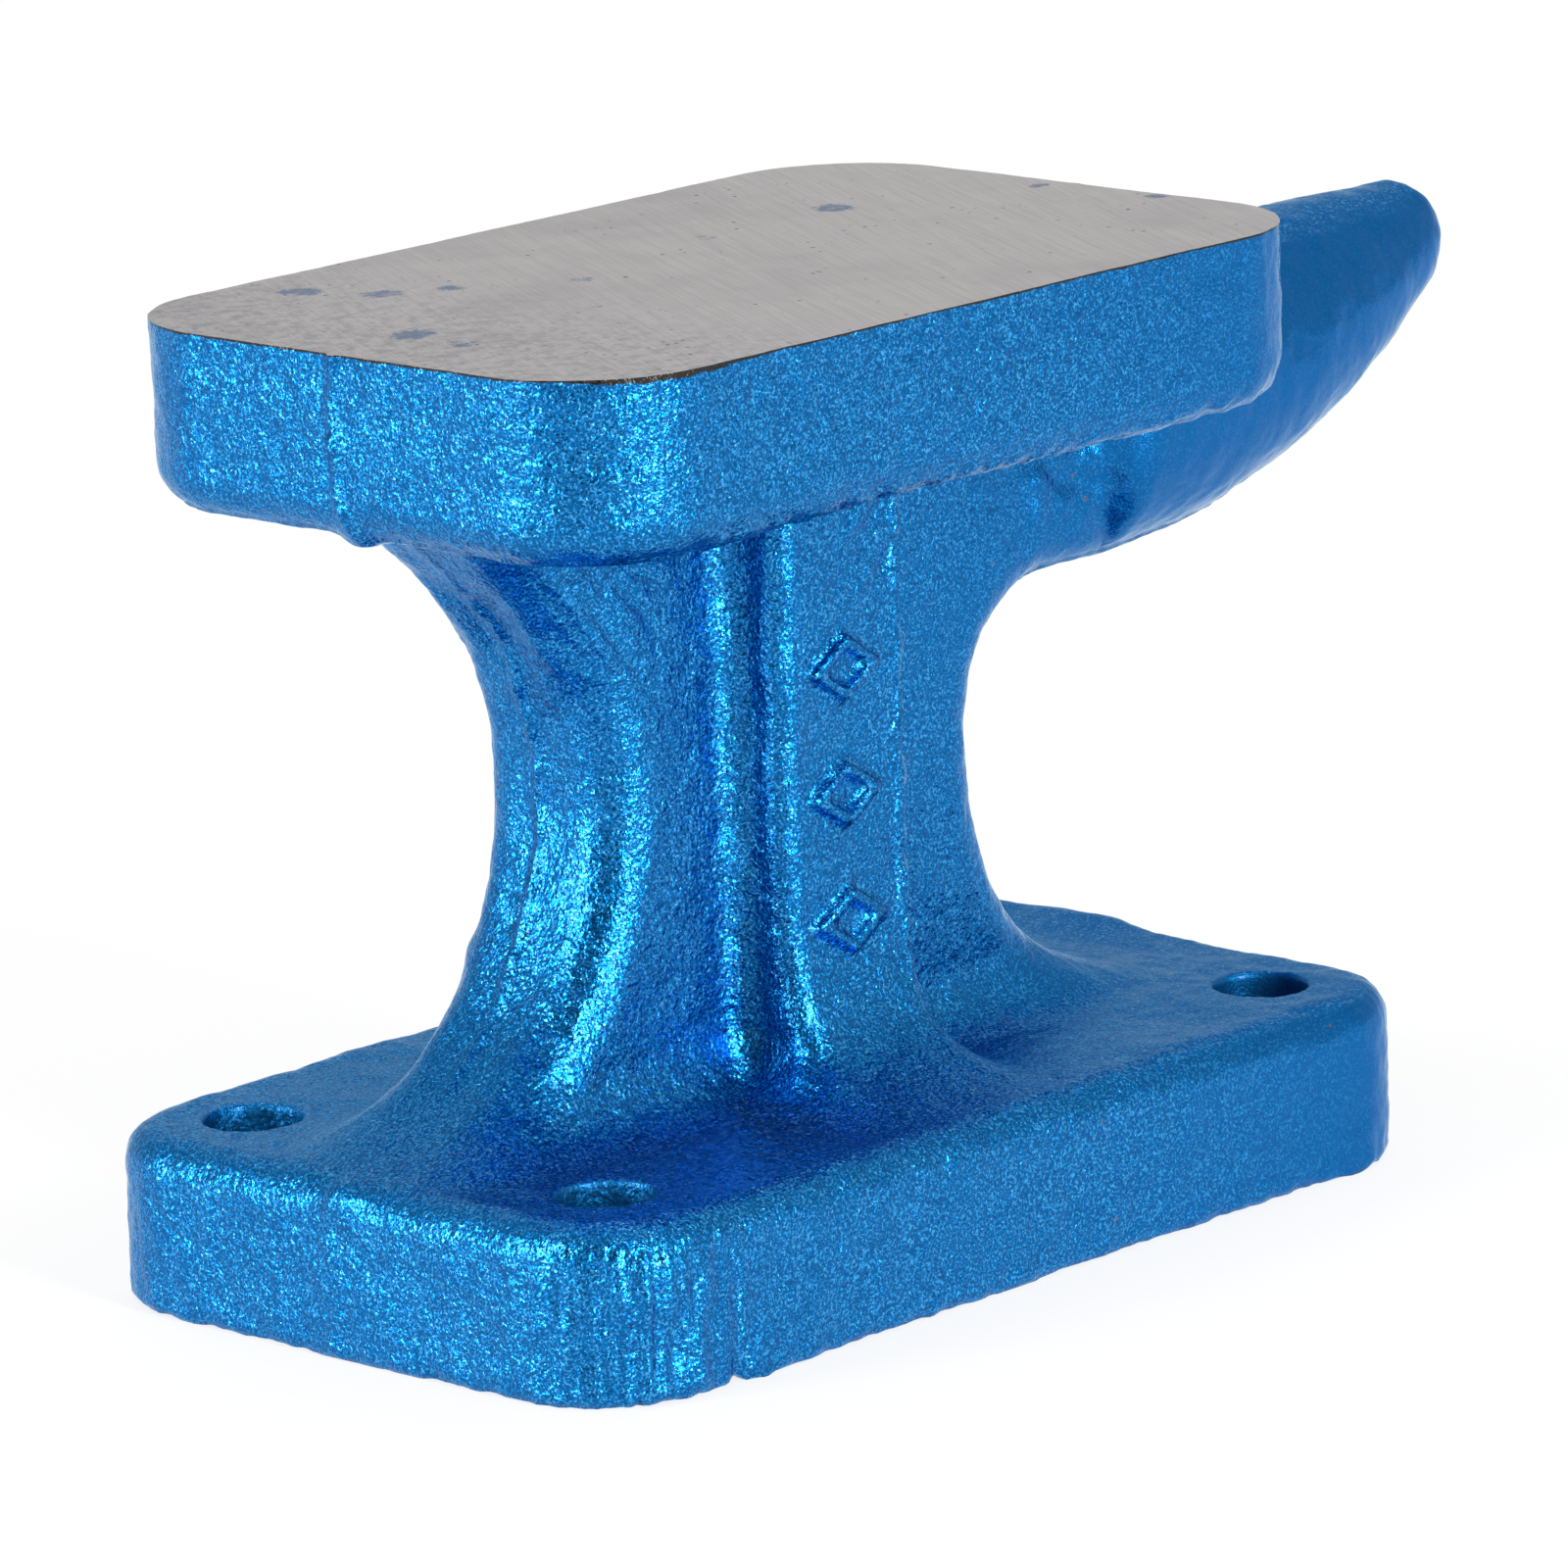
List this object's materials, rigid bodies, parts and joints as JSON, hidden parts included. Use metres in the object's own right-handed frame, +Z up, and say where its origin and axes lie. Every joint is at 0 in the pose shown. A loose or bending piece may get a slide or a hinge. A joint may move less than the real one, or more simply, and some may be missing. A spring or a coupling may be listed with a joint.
{
  "type": "bench anvil",
  "caption": "Miniature cast-iron bench anvil in metallic blue paint, with a drilled foot plate, a ribbed waist, a flat ground table and a tapering horn.",
  "frame": {"origin": "middle of the underside of the foot plate", "axes": "+Z up out of the ground face, X along the anvil with the horn at +X, Y across it with the raised lozenges at -Y"},
  "size_m": [0.0865, 0.0384, 0.0508],
  "materials": {
    "foot_paint": "metallic blue paint over rough sand-cast iron",
    "web_paint": "metallic blue paint over rough sand-cast iron",
    "rib_front_paint": "metallic blue paint over rough sand-cast iron",
    "rib_back_paint": "metallic blue paint over rough sand-cast iron",
    "table_paint": "metallic blue paint over rough sand-cast iron",
    "horn_paint": "metallic blue paint over rough sand-cast iron",
    "ground_iron": "bare iron, flat ground, fine diagonal grinding lines"
  },
  "bodies": {
    "root": {"foot_plate": "foot_paint", "waist_web": "web_paint", "rib_front": "rib_front_paint", "rib_back": "rib_back_paint", "table_block": "table_paint", "horn": "horn_paint", "ground_face": "ground_iron"}
  },
  "joints": []
}
